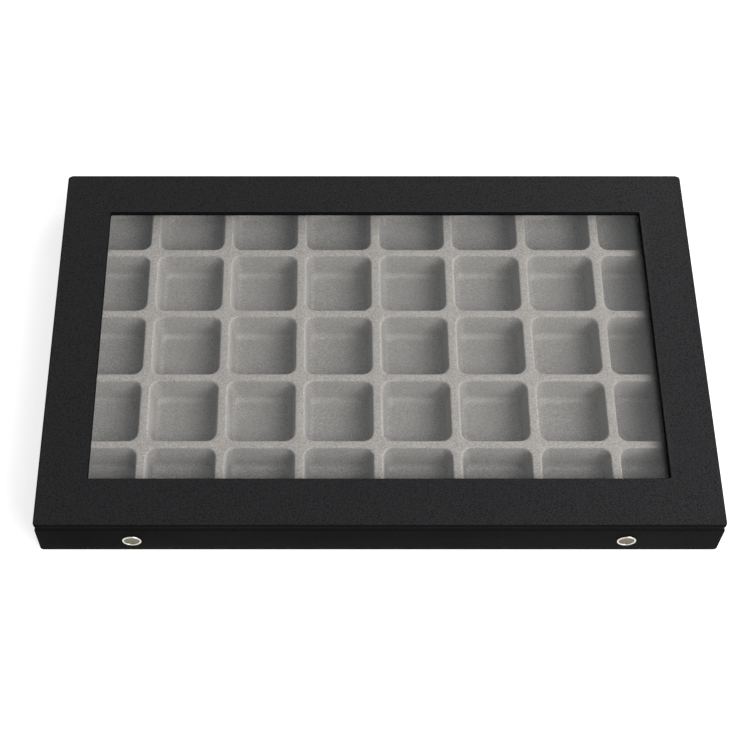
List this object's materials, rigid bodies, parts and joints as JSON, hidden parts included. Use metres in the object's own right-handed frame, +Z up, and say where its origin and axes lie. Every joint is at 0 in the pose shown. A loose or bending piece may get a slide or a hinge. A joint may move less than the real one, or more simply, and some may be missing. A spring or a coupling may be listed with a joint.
{
  "type": "ring display box",
  "caption": "Flat leatherette display case with a hinged window lid, a front flap on press studs and a loose flocked tray of rounded pockets for rings.",
  "frame": {"origin": "middle of the underside of the closed case", "axes": "+X along the case to the right, +Y from the flap to the back hinge, +Z up"},
  "size_m": [0.44, 0.2772, 0.038],
  "materials": {
    "leatherette": "fine grain, satin",
    "board": "bare fibre board",
    "card": "grey card",
    "lining": "matt paper cloth",
    "flock": "short flock, soft",
    "pane": "clear, polished",
    "nickel": "bright plated"
  },
  "bodies": {
    "base": {"base_underlay": "lining", "base_bottom_board": "board", "base_front_wall": "board", "base_back_wall": "board", "base_left_wall": "board", "base_right_wall": "board", "base_cover": "leatherette", "base_floor_liner": "lining", "base_wall_liner": "lining", "tray_insert": "flock", "snap_studs": "nickel", "stud_rivets": "nickel", "back_hinge": "leatherette"},
    "lid": {"lid_front_rail": "board", "lid_back_rail": "board", "lid_left_rail": "board", "lid_right_rail": "board", "lid_cover": "leatherette", "window_pane": "pane", "pane_spacers": "card", "lid_lining": "lining"},
    "flap": {"flap_board": "board", "flap_cover": "leatherette", "flap_lining": "lining", "flap_hinge": "leatherette", "snap_caps": "nickel", "snap_sockets": "nickel", "snap_springs": "nickel"}
  },
  "joints": [
    {"name": "lid_hinge", "type": "hinge", "parent": "base", "child": "lid", "pos_m": [0, 0.13825, 0.03345], "axis": [-1, 0, 0], "range_deg": [0, 180], "deforming": ["back_hinge"]},
    {"name": "flap_hinge", "type": "hinge", "parent": "lid", "child": "flap", "pos_m": [0, -0.13755, 0.0324], "axis": [-1, 0, 0], "range_deg": [0, 180], "deforming": ["flap_hinge"]}
  ]
}
